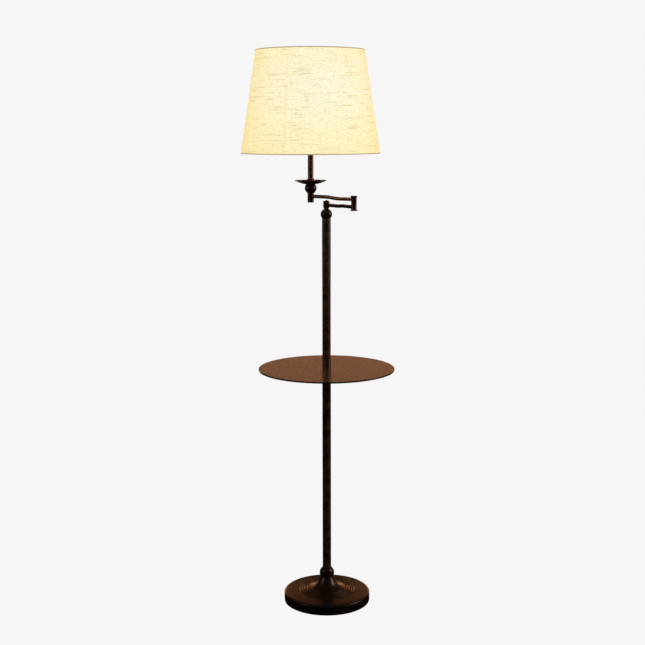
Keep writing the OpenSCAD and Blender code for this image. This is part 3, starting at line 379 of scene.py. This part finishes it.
def finishes():
    """One finish for each material slot of the part, and three bronzes more for arms, candle tube and
    dish, the dish's one darkened as painted shade.
    """
    bronze = dict(speck=900, metal=0.1)
    plastic = dict(speck=1500)
    return {
        "bronze_pole": coat("oil-rubbed bronze, pole", rgb(0.034, 0.009, 0.003),
                            rgb(0.048, 0.013, 0.005), cloud=60, rough=(0.26, 0.32), gloss=0.60,
                            orange_peel=0.00002, rubbed=rgb(0.24, 0.115, 0.06), **bronze),
        "bronze_arm": coat("oil-rubbed bronze, arms", rgb(0.021, 0.0063, 0.003),
                           rgb(0.030, 0.009, 0.0045), cloud=60, rough=(0.24, 0.30), gloss=0.85,
                           orange_peel=0.000005, edge_tint=rgb(1.0, 0.55, 0.40), **bronze),
        "bronze_trim": coat("oil-rubbed bronze, turned pieces", rgb(0.026, 0.0065, 0.002),
                            rgb(0.038, 0.0095, 0.003), cloud=70, rough=(0.22, 0.28), gloss=0.38,
                            orange_peel=0.000006, turned_marks=1500, **bronze),
        # painted shade: a darker, duller copy of the turned pieces' bronze, for the shade that falls
        # on the dish
        "bronze_dish": coat("oil-rubbed bronze, dish", rgb(0.012, 0.003, 0.0015),
                            rgb(0.016, 0.0042, 0.002), cloud=70, rough=(0.40, 0.46), gloss=0.15,
                            orange_peel=0.000005, **bronze),
        "bronze_candle": coat("oil-rubbed bronze, candle tube", rgb(0.036, 0.010, 0.005),
                              rgb(0.046, 0.013, 0.007), cloud=60, rough=(0.20, 0.24), gloss=0.9,
                              orange_peel=0.000004, edge_tint=rgb(1.0, 0.66, 0.52), **bronze),
        "bronze_base": coat("oil-rubbed bronze, base", rgb(0.056, 0.034, 0.024),
                            rgb(0.072, 0.045, 0.032), metal=0.8, rough=(0.30, 0.36), gloss=0.4,
                            orange_peel=0.000015, edge_tint=rgb(1.0, 0.72, 0.52)),
        # lighter than the other bronzes: partly the table's own brown coat, partly painted light for
        # the lamp shining down on its top
        "bronze_table": coat("brown bronze coat, table", rgb(0.140, 0.056, 0.024),
                             rgb(0.170, 0.068, 0.029), speck=900, metal=0.2, rough=(0.24, 0.28),
                             gloss=0.9, orange_peel=0.00004, edge_tint=rgb(1.0, 0.60, 0.35)),
        "iron": coat("raw cast iron", rgb(0.035, 0.035, 0.037), rgb(0.075, 0.073, 0.072), cloud=60,
                     speck=500, metal=0.7, rough=(0.55, 0.75), orange_peel=0.0004),
        "felt": coat("pressed felt", rgb(0.020, 0.017, 0.016), rgb(0.045, 0.038, 0.034),
                     cloud=200, speck=1400, rough=(0.9, 1.0), gloss=0.1, orange_peel=0.0005),
        "zinc_steel": coat("zinc plated steel", rgb(0.42, 0.42, 0.41), rgb(0.60, 0.60, 0.58),
                           cloud=80, speck=1200, metal=0.9, rough=(0.26, 0.38),
                           orange_peel=0.00003, turned_marks=2500),
        "brass": coat("plain brass", rgb(0.42, 0.29, 0.12), rgb(0.60, 0.44, 0.20), cloud=60,
                      speck=1200, metal=0.95, rough=(0.24, 0.36), orange_peel=0.00003,
                      turned_marks=1800),
        "harp_wire": coat("bronze lacquered wire", rgb(0.060, 0.040, 0.028),
                          rgb(0.110, 0.075, 0.050), cloud=70, speck=1200, metal=0.7,
                          rough=(0.30, 0.42), orange_peel=0.00004),
        "black_plastic": coat("moulded black plastic", rgb(0.012, 0.012, 0.012),
                              rgb(0.026, 0.025, 0.024), cloud=120, rough=(0.40, 0.52), gloss=0.45,
                              orange_peel=0.00006, **plastic),
        "nylon": coat("black nylon", rgb(0.020, 0.019, 0.018), rgb(0.036, 0.034, 0.032), cloud=90,
                      rough=(0.42, 0.55), gloss=0.4, orange_peel=0.00005, **plastic),
        "lead_sheath": coat("soft brown sheath", rgb(0.035, 0.024, 0.019),
                            rgb(0.060, 0.043, 0.034), cloud=150, rough=(0.5, 0.62), gloss=0.35,
                            orange_peel=0.00006, **plastic),
        "card": coat("pressed card", rgb(0.46, 0.36, 0.22), rgb(0.60, 0.49, 0.32), cloud=150,
                     speck=1800, rough=(0.8, 0.95), gloss=0.2, orange_peel=0.0002),
        "nickel": coat("nickel plated shell", rgb(0.52, 0.52, 0.50), rgb(0.66, 0.66, 0.63),
                       cloud=90, speck=1400, metal=0.95, rough=(0.18, 0.30), orange_peel=0.00003),
        "white_wire": coat("white enamelled wire", rgb(0.72, 0.69, 0.62), rgb(0.82, 0.80, 0.74),
                           cloud=90, speck=1500, rough=(0.30, 0.42), orange_peel=0.00004),
        "frosted_glass": lit_glass(),
        "linen": linen(),
    }


# ---- The bench: how pieces are made ----

def clear_bench():
    """Leaves nothing selected, so that the next tool works on its own piece alone."""
    if bpy.context.mode != "OBJECT":
        bpy.ops.object.mode_set(mode="OBJECT")
    bpy.ops.object.select_all(action="DESELECT")


def pick(piece):
    clear_bench()
    piece.select_set(True)
    bpy.context.view_layer.objects.active = piece


def settle():
    """Puts the place and turn of the piece in hand into its mesh."""
    bpy.ops.object.transform_apply(location=True, rotation=True, scale=True)


def facing_to(way):
    return Vector(way).to_track_quat("Z", "Y").to_euler()


def modify(piece, kind, **settings):
    """Puts one modifier on the piece and applies it at once."""
    pick(piece)
    step = piece.modifiers.new(kind.title(), kind)
    for key, value in settings.items():
        setattr(step, key, value)
    bpy.ops.object.modifier_apply(modifier=step.name)


def soften(piece, edge):
    """Rounds the sharp edges by edge, then shades flat faces flat and round ones round."""
    if edge:
        modify(piece, "BEVEL", width=edge * MM, segments=2, limit_method="ANGLE",
               angle_limit=math.radians(28), use_clamp_overlap=True)
    pick(piece)
    bpy.ops.object.shade_smooth_by_angle(angle=math.radians(38))
    modify(piece, "WEIGHTED_NORMAL", weight=60, keep_sharp=True)


def start_ring(name, at, radius, facing=(0, 0, 1), sides=TURN_SIDES):
    """Starts a piece as one open ring, and leaves it in hand with all its points selected."""
    clear_bench()
    bpy.ops.mesh.primitive_circle_add(vertices=sides, radius=radius * MM, fill_type="NOTHING",
                                      location=Vector(at) * MM, rotation=facing_to(facing))
    piece = bpy.context.active_object
    piece.name = piece.data.name = name
    settle()
    bpy.ops.object.mode_set(mode="EDIT")
    bpy.ops.mesh.select_mode(type="VERT")
    bpy.ops.mesh.select_all(action="SELECT")
    return piece


def draw_out(move):
    """Draws the selected ring out into a wall."""
    bpy.ops.mesh.extrude_region_move(TRANSFORM_OT_translate={"value": Vector(move) * MM})


def close_up(piece, fill=True):
    """Joins points that meet, fills open ends, and turns every face outwards."""
    pick(piece)
    bpy.ops.object.mode_set(mode="EDIT")
    bpy.ops.mesh.select_all(action="SELECT")
    bpy.ops.mesh.remove_doubles(threshold=0.002 * MM)
    if fill:
        bpy.ops.mesh.fill_holes(sides=0)
        bpy.ops.mesh.select_all(action="SELECT")
    bpy.ops.mesh.normals_make_consistent(inside=False)
    bpy.ops.object.mode_set(mode="OBJECT")


def turned(name, outline, axis=(0, 0), foot=0, wall=0, edge=0.25, sides=TURN_SIDES):
    """A piece turned about an upright axis, through the outline from its first point to its last.
    With a wall it is spun from sheet and open at both ends; an outline that comes back to its start
    makes a ring; any other is solid, with flat ends or a last point on the axis."""
    outline = [(r, z + foot) for r, z in outline]
    r, z = outline[0]
    piece = start_ring(name, (axis[0], axis[1], z), r, sides=sides)
    for to_r, to_z in outline[1:]:
        draw_out((0, 0, to_z - z))
        if to_r == 0:
            bpy.ops.mesh.merge(type="CENTER")
            break
        if to_r != r:
            bpy.ops.transform.resize(value=(to_r / r, to_r / r, 1),
                                     center_override=(axis[0] * MM, axis[1] * MM, to_z * MM))
        r, z = to_r, to_z
    close_up(piece, fill=not wall and outline[0] != outline[-1])
    if wall:
        modify(piece, "SOLIDIFY", thickness=wall * MM, offset=-1, use_even_offset=True)
    soften(piece, edge)
    return piece


def bent_bar(name, start, turn, path, radius, pitch=0, sides=BAR_SIDES):
    """A round bar bent in one upright plane. turn is the plane's direction seen from above, pitch
    the bar's slope at its start, and path its straights (length, 0) and bends (radius, degrees
    up)."""
    turn, pitch = math.radians(turn), math.radians(pitch)
    ahead, up = Vector((math.cos(turn), math.sin(turn), 0)), Vector((0, 0, 1))
    end = Vector(start)
    along = ahead * math.cos(pitch) + up * math.sin(pitch)
    piece = start_ring(name, end, radius, along, sides)
    for size, angle in path:
        if angle == 0:
            draw_out(along * size)
            end = end + along * size
            continue
        reach = math.copysign(size, angle)
        to_centre = (up * math.cos(pitch) - ahead * math.sin(pitch)) * reach
        bpy.ops.mesh.spin(steps=max(2, math.ceil(abs(angle) / BEND_STEP)),
                          angle=-math.radians(angle), center=(end + to_centre) * MM,
                          axis=ahead.cross(up))
        pitch += math.radians(angle)
        along = ahead * math.cos(pitch) + up * math.sin(pitch)
        end = end + to_centre - (up * math.cos(pitch) - ahead * math.sin(pitch)) * reach
        bpy.ops.object.mode_set(mode="OBJECT")
        for v in piece.data.vertices:
            from_end = v.co / MM - end
            v.select = abs(from_end.dot(along)) < 0.01 and from_end.length < 1.1 * radius
        bpy.ops.object.mode_set(mode="EDIT")
    close_up(piece)
    soften(piece, 0)
    return piece


def laid(piece, turn, to):
    """Turns a finished piece about X by turn degrees and carries it to its place."""
    pick(piece)
    piece.rotation_euler = (math.radians(turn), 0, 0)
    piece.location = Vector(to) * MM
    settle()
    return piece


def drill(piece, at, radius, depth):
    """Drills a round hole into the piece, from front to back."""
    clear_bench()
    bpy.ops.mesh.primitive_cylinder_add(vertices=48, radius=radius * MM, depth=depth * MM,
                                        location=Vector(at) * MM, rotation=facing_to(FRONT_TO_BACK))
    bit = bpy.context.active_object
    settle()
    modify(piece, "BOOLEAN", operation="DIFFERENCE", object=bit, solver="EXACT")
    bpy.data.objects.remove(bit)
    soften(piece, 0)


def joined(name, *pieces):
    pick(pieces[0])
    for piece in pieces[1:]:
        piece.select_set(True)
    bpy.ops.object.join()
    pieces[0].name = pieces[0].data.name = name
    return pieces[0]


def copied(piece, by):
    """A copy with a mesh of its own, moved by that much."""
    pick(piece)
    bpy.ops.object.duplicate()
    copy = bpy.context.active_object
    copy.location = Vector(by) * MM
    settle()
    return copy


def fitted(piece, body, slot, *nodes, finish=None):
    """Gives a finished piece its finish, its slot's own if none is named, and its place among the
    bodies."""
    if not piece.data.materials:
        piece.data.materials.append(FINISH[finish or slot])
    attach(piece, body)
    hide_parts(*nodes)
    return piece


def arc(centre, radius, start, end, steps=10):
    """Points on a round corner, from start to end degrees."""
    turns = [math.radians(start + (end - start) * i / steps) for i in range(steps + 1)]
    return [(centre[0] + radius * math.cos(t), centre[1] + radius * math.sin(t)) for t in turns]


def curve(a, b, c, steps):
    """Points on a quadratic curve from a to c that leans towards b."""
    points = []
    for i in range(steps + 1):
        t = i / steps
        points.append(tuple((1 - t) ** 2 * a[k] + 2 * t * (1 - t) * b[k] + t * t * c[k]
                            for k in (0, 1)))
    return points


def ball_outline(radius, low_r, high_r, foot=0):
    """A ball that stands on a flat of radius low_r and ends above in one of high_r."""
    middle = foot + math.sqrt(radius ** 2 - low_r ** 2)
    return arc((0, middle), radius, -math.degrees(math.acos(low_r / radius)),
               math.degrees(math.acos(high_r / radius)), 18)


# ---- Base ----

def base():
    """The spun cover with its rings and bell, the ball on it, and the grommet of the cord."""
    shoulder_r, band_z = BASE_R - SHOULDER, BASE_SIDE + SHOULDER_RISE + BAND_RISE
    bell_r, bell_z = shoulder_r - BAND - RINGS * RING, band_z + RINGS * RING_RISE
    neck_z = bell_z + BELL_H
    outline = [(BASE_R, 1.5), (BASE_R, BASE_SIDE)]
    for angle in range(15, 91, 15):
        turn = math.radians(angle)
        outline.append((shoulder_r + SHOULDER * math.cos(turn),
                        BASE_SIDE + SHOULDER_RISE * math.sin(turn)))
    for k in range(RINGS):
        r, z = shoulder_r - BAND - RING * k, band_z + RING_RISE * k
        outline += [(r, z), (r - 0.25 * RING, z + RING_RISE), (r - 0.7 * RING, z + RING_RISE),
                    (r - 0.85 * RING, z + RING_RISE - GROOVE)]
    lean = (NECK_R + 0.35 * (bell_r - NECK_R), bell_z + 0.12 * BELL_H)
    outline += curve((bell_r, bell_z), lean, (NECK_R, neck_z), 14)
    cover = turned("base_cover_spun", outline, wall=SHEET, edge=0.5, sides=160)
    drill(cover, (0, BASE_R, INLET_Z), INLET_R, 8)
    fitted(cover, "stand", "bronze_base", "base_cover")

    ball = turned("foot_ball_turned", ball_outline(FOOT_BALL_R, NECK_R, POLE_SEAT_R, neck_z),
                  edge=0.3)
    fitted(ball, "stand", "bronze_trim", "foot_ball")

    grommet = turned("cord_grommet_moulded", [(3, 0), (6, 0), (6, 2), (4.5, 2), (4.5, 3.7),
                                              (6, 3.7), (5, 5.7), (3, 5.7), (3, 0)],
                     edge=0.3, sides=48)
    fitted(laid(grommet, 90, (0, back("cord_grommet"), INLET_Z)), "stand", "black_plastic",
           "cord_grommet")


# ---- Table and pole ----

def table():
    top, corner_r = high("table_top"), TABLE_R - TABLE_CORNER
    outline = [(TABLE_R, top - TABLE_RIM)]
    outline += arc((corner_r, top - TABLE_CORNER), TABLE_CORNER, 0, 90, 5)
    outline += [(TABLE_R - 8, top), (60, top), (TABLE_HOLE_R, top)]
    sheet = turned("table_top_spun", outline, wall=SHEET, edge=0, sides=192)
    sheet.data.materials.append(FINISH["bronze_table"])
    sheet.data.materials.append(FINISH["bronze_trim"])
    for face in sheet.data.polygons:         # painted shade: the upright rim and the underside take the turned pieces' darker bronze
        if face.center.xy.length > (corner_r - 0.2) * MM or face.normal.z < 0:
            face.material_index = 1
    fitted(sheet, "stand", "bronze_table", "table_top")
    flange = turned("table_flange_turned", [(45, 0), (45, 2.5)], foot=low("table_flange"), edge=0.8)
    fitted(flange, "stand", "bronze_pole", "table_flange")


def pole_top():
    ball = turned("top_ball_turned", ball_outline(BALL_R, POLE_SEAT_R, 6.5, low("top_ball")),
                  edge=0.3)
    fitted(ball, "stand", "bronze_trim", "top_ball")
    nut = turned("swivel_nut_turned", [(6.5, 0), (6.5, 1.4)], foot=low("swivel_nut"), edge=0.3,
                 sides=48)
    fitted(nut, "stand", "bronze_trim", "swivel_nut")


# ---- Arms ----

def arm_path(rise):
    """Straights and bends of an arm that rises between its two pivots."""
    angle = math.degrees(math.acos(1 - rise / (2 * ARM_BEND_R)))
    side = (ARM_LEN - 2 * ARM_BEND_R * math.sin(math.radians(angle))) / 2 - ARM_ENTRY
    return [(side, 0), (ARM_BEND_R, angle), (ARM_BEND_R, -angle), (side, 0)]


def arm(name, pivot, turn, height, rise, body, node):
    """An arm that leaves the pivot's barrel at that height, and heads for turn degrees."""
    heading = math.radians(turn)
    start = (pivot[0] + ARM_ENTRY * math.cos(heading), pivot[1] + ARM_ENTRY * math.sin(heading),
             height)
    bar = bent_bar(name, start, turn, arm_path(rise), ARM_R)
    fitted(bar, body, "bronze_pole", node, finish="bronze_arm")


def arms():
    """The swivel on the pole, the elbow's two halves with pin and cap, and the two arms."""
    swivel_z = low("swivel_barrel")
    barrel = turned("swivel_barrel_turned", [
        (6.4, 0), (7.9, 0.9), (8.7, 2.4), (BARREL_R, 4.4), (BARREL_R, 16.6), (8.5, 17.5),
        (9.5, 18.8), (9.5, 21)], foot=swivel_z)
    fitted(barrel, "lower_arm", "bronze_pole", "swivel_barrel", finish="bronze_arm")
    arm("lower_arm_bent", (0, 0), LOWER_ARM_TURN, swivel_z + 10.3, LOWER_ARM_RISE, "lower_arm",
        "lower_arm_tube")

    half = [(8.6, 0), (8.6, 2), (ELBOW_R, 4), (ELBOW_R, 18.4)]
    lower = turned("elbow_lower_turned", half, ELBOW, low("elbow_lower_barrel"))
    fitted(lower, "lower_arm", "bronze_pole", "elbow_lower_barrel", finish="bronze_arm")
    disc = [(ELBOW_CAP_R, 0), (ELBOW_CAP_R, 1.6)]
    pin = turned("elbow_pin_turned", disc + [(3.2, 1.6), (3.2, 40)], ELBOW, low("elbow_pin"),
                 edge=0.4)
    fitted(pin, "lower_arm", "bronze_trim", "elbow_pin")
    cap = turned("elbow_cap_turned", disc, ELBOW, low("elbow_cap"), edge=0.5)
    fitted(cap, "lower_arm", "bronze_trim", "elbow_cap")

    upper = turned("elbow_upper_turned", [(r, -z) for r, z in reversed(half)], ELBOW,
                   high("elbow_upper_barrel"))
    fitted(upper, "upper_arm", "bronze_pole", "elbow_upper_barrel", finish="bronze_arm")
    arm("upper_arm_bent", ELBOW, UPPER_ARM_TURN, low("elbow_upper_barrel") + 10.5, UPPER_ARM_RISE,
        "upper_arm", "upper_arm_tube")


# ---- Head ----

def head():
    """The barrel, ball and drip dish, and the candle tube on them."""
    barrel = turned("head_barrel_turned", [(BARREL_R, 0), (BARREL_R, 23.6)], HEAD,
                    low("head_barrel"), edge=0.4)
    fitted(barrel, "upper_arm", "bronze_pole", "head_barrel", finish="bronze_arm")
    nut = turned("head_nut_turned", [(8.3, 0), (BARREL_R, 0.7), (BARREL_R, 2.2)], HEAD,
                 low("head_nut"))
    fitted(nut, "upper_arm", "bronze_trim", "head_nut")
    ball = turned("head_ball_turned", ball_outline(BALL_R, BARREL_R, 12, low("head_ball")), HEAD,
                  edge=0.3)
    fitted(ball, "upper_arm", "bronze_trim", "head_ball")

    under = [(6, 0)] + curve((17, 0), (30.7, 2.8), (43.4, 9.4), 12)
    lip = arc((43.4, 10), 0.9, -70, 160, 7)
    over = [(r, z + SHEET) for r, z in reversed(under)][1:]
    dish = turned("drip_dish_spun", under + lip + over + under[:1], HEAD, low("drip_dish"), edge=0)
    fitted(dish, "upper_arm", "bronze_trim", "drip_dish", finish="bronze_dish")

    candle_z = low("candle_tube")
    cup = turned("candle_foot_turned", [(8, 0), (11.4, 0), (11.4, 1.2), (9.7, 3), (9.7, 12.9),
                                        (8.9, 14.5), (8, 14.5), (8, 0)], HEAD, candle_z, edge=0.2)
    fitted(cup, "upper_arm", "bronze_pole", "candle_foot", finish="bronze_arm")
    tube = turned("candle_tube_drawn", [(CANDLE_R, 0), (CANDLE_R, CANDLE_H)], HEAD, candle_z,
                  wall=0.8, edge=0.2)
    fitted(tube, "upper_arm", "bronze_candle", "candle_tube")
    cap = turned("candle_cap_turned", [(10.4, 0), (10.4, 3)], HEAD, candle_z + CANDLE_H, edge=0.6)
    fitted(cap, "upper_arm", "bronze_trim", "candle_cap")


# ---- Harp, lampholder and bulb ----

def harp():
    """The bent wire that carries the shade, its two sleeves and the finial."""
    left = (HEAD[0] - HARP_SPREAD / 2, HEAD[1])
    half = [(14, 0), (12, 40), (32.41, 0), (40, -40), (92.35, 0), (50, -90), (4, 0)]
    wire = bent_bar("harp_bent", (*left, low("harp")), 0, half + half[::-1], HARP_WIRE_R, pitch=90,
                    sides=24)
    fitted(wire, "upper_arm", "harp_wire", "harp")

    sleeve = turned("harp_sleeve", [(2.8, 0), (2.8, 1.6), (2.5, 2), (2.5, 6), (2.8, 6.4), (2.8, 8)],
                    left, low("harp_ferrules"), sides=32)
    sleeves = joined("harp_sleeves", sleeve, copied(sleeve, (HARP_SPREAD, 0, 0)))
    fitted(sleeves, "upper_arm", "harp_wire", "harp_ferrules")

    stem = [(5.8, 0), (5.8, 1.6), (5.0, 2.6), (3.1, 4), (3.1, 5.8)]
    knob = [(6.5 * math.cos(math.radians(a)), 12.2 + 6.8 * math.sin(math.radians(a)))
            for a in range(-50, 90, 10)] + [(0, 19)]
    finial = turned("finial_turned", stem + knob, HEAD, low("finial"), edge=0.2)
    fitted(finial, "upper_arm", "bronze_trim", "finial")


def lampholder():
    """The spun brass cap and shell, and the switch's fluted knob."""
    foot, cap_h, ridge_r, flutes = low("holder_cap"), 22, 17.3, 12
    cap = turned("holder_cap_spun", [
        (5.1, 0), (8, 0), (8, 2), (13.2, 6), (15.8, 11), (HOLDER_R, 14), (HOLDER_R, cap_h)],
        HEAD, foot, wall=HOLDER_SHEET, edge=0.4)
    fitted(cap, "upper_arm", "brass", "holder_cap")
    shell = turned("holder_shell_spun", [
        (HOLDER_R, 0), (HOLDER_R, 3), (17, 3.4), (ridge_r, 4), (17, 4.6), (HOLDER_R, 5),
        (HOLDER_R, 38), (16.9, 39), (ridge_r, 40), (ridge_r, 42)],
        HEAD, foot + cap_h, wall=HOLDER_SHEET, edge=0.2)
    drill(shell, (HEAD[0], HEAD[1] - 16, foot + SWITCH_UP), 3, 10)
    fitted(shell, "upper_arm", "brass", "holder_shell")

    knob = turned("switch_knob_moulded", [(2, 1), (2, 19.5), (5.6, 19.5), (6.5, 20.4), (6.5, 29.6),
                                          (5.9, 30.5)], edge=0.3, sides=72)
    pick(knob)
    bpy.ops.object.mode_set(mode="EDIT")
    bpy.ops.mesh.select_all(action="DESELECT")
    bpy.ops.object.mode_set(mode="OBJECT")
    for v in knob.data.vertices:             # the flutes are pressed in, twelve round the knob
        away = math.degrees(math.atan2(v.co.y, v.co.x)) % (360 / flutes)
        v.select = v.co.xy.length > 5.4 * MM and min(away, 360 / flutes - away) < 6
    bpy.ops.object.mode_set(mode="EDIT")
    bpy.ops.transform.resize(value=(0.88, 0.88, 1), center_override=(0, 0, 25 * MM))
    bpy.ops.object.mode_set(mode="OBJECT")
    fitted(laid(knob, 90, (HEAD[0], HEAD[1], foot + SWITCH_UP)), "knob", "black_plastic",
           "switch_knob")


def bulb():
    """The rolled screw base and the blown glass, a globe that flares from a neck."""
    thread_r, pitch = 13.0, 3.6
    thread = []
    for k in range(4):
        thread += [(SCREW_R, 8.2 + pitch * k), (thread_r, 9.1 + pitch * k),
                   (thread_r, 9.9 + pitch * k), (SCREW_R, 10.8 + pitch * k)]
    screw = turned("bulb_base_rolled", [
        (4, 0), (4.6, 0.8), (5, 2), (10, 4.5), (SCREW_R, 7)] + thread + [
        (SCREW_R, 24), (12.9, 24.5), (12.9, 25)], HEAD, low("bulb_base"), edge=0.15, sides=64)
    fitted(screw, "upper_arm", "nickel", "bulb_base")

    join = 35                                # degrees below the globe's middle, where the neck ends
    down = math.radians(join)
    meet = (BULB_R * math.cos(down), BULB_Z - BULB_R * math.sin(down))
    lean = (meet[0] - SCREW_R) * 0.9
    neck = curve((SCREW_R, low("bulb_glass")),
                 (meet[0] - lean * math.sin(down), meet[1] - lean * math.cos(down)), meet, 16)
    globe = arc((0, BULB_Z), BULB_R, -join, 85, 24)[1:] + [(0, BULB_Z + BULB_R)]
    glass = turned("bulb_glass_blown", neck + globe, HEAD, edge=0)
    fitted(glass, "upper_arm", "frosted_glass", "bulb_glass")


# ---- Shade ----

def shade_r(height):
    """Outside radius of the shade's cloth at that height above its lower edge."""
    return SHADE_LOW_R + (SHADE_TOP_R - SHADE_LOW_R) * height / SHADE_H


def ramp(share):
    return min(1, max(0, share))


def shade_cloth():
    """The linen cone, cut in one piece, wrapped round the two wires and lapped at the seam."""
    clear_bench()
    bpy.ops.mesh.primitive_grid_add(x_subdivisions=360, y_subdivisions=60, size=1)
    cloth = bpy.context.active_object
    cloth.name = cloth.data.name = "shade_linen"
    sweep = 360 / (1 - LAP_SHARE)
    ease = 1.5 * LAP_SHARE                   # the cloth's way up onto the lap, or down under it
    step = CLOTH / 2 + 0.05
    for v in cloth.data.vertices:
        along, up = v.co.x + 0.5, v.co.y + 0.5
        over, under = (along - 1 + LAP_SHARE + ease) / ease, (LAP_SHARE + ease - along) / ease
        lift = ramp(over) - ramp(under)
        height = up * SHADE_H
        turn = math.radians(SEAM + (along - 1) * sweep)
        waves = noise.noise(Vector((math.cos(turn) * 3, math.sin(turn) * 3, up * 4)))
        ripple = 0.25 * waves * math.sin(math.pi * up)
        r = shade_r(height) + lift * step + ripple
        v.co = Vector((HEAD[0] + r * math.cos(turn), HEAD[1] + r * math.sin(turn),
                       SHADE_Z + height)) * MM
    cloth.data.materials.append(FINISH["linen"])
    cloth.data.materials.append(backing())
    modify(cloth, "SOLIDIFY", thickness=CLOTH * MM, offset=-1, material_offset=1)
    soften(cloth, 0)
    return fitted(cloth, "upper_arm", "linen", "shade_shell")


def shade_hem(name, edge_height, inwards):
    """A folded tape over the cloth's edge and its wire; inwards is 1 where the cloth lies above the
    edge and -1 where it lies below. Folds are (outwards from the cloth, inwards from the edge)."""
    tape = 0.5
    edge_r, near_z = shade_r(edge_height), edge_height + 2.2 * inwards
    near_r = shade_r(near_z)
    outer = [(0.8, 0.6), (0.5, -0.1), (-0.3, -0.5), (-3.8, -0.5), (-4.9, 0.6)]
    inner = [(-4.3, 0.9), (-3.7, 0), (-0.6, 0), (0.1, 0.5)]

    def folds(points):
        return [(edge_r + out, edge_height + way * inwards) for out, way in points]

    outline = [(near_r + 0.75, near_z)] + folds(outer) + [(near_r - 5.0, near_z)]
    outline += [(near_r - 5.0 + tape, near_z)] + folds(inner) + [(near_r + 0.5, near_z)]
    return turned(name, outline + outline[:1], HEAD, SHADE_Z, edge=0, sides=180)


def shade():
    """The cloth and its two tapes."""
    cloth = shade_cloth()
    top = shade_hem("shade_top_tape", SHADE_H, -1)
    bottom = shade_hem("shade_bottom_tape", 0, 1)
    tape = hem_tape()
    for hem in (top, bottom):
        hem.data.materials.append(tape)
        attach(hem, "upper_arm")


# ---- Putting it together ----

camera()
studio()
FINISH = finishes()
for part in frame["record"]["subparts"]:
    node = frame["nodes"][part["node"]]
    node.material_slots[0].material = FINISH[part["material_slot"]]
base()
table()
pole_top()
arms()
head()
harp()
lampholder()
bulb()
shade()
clear_bench()
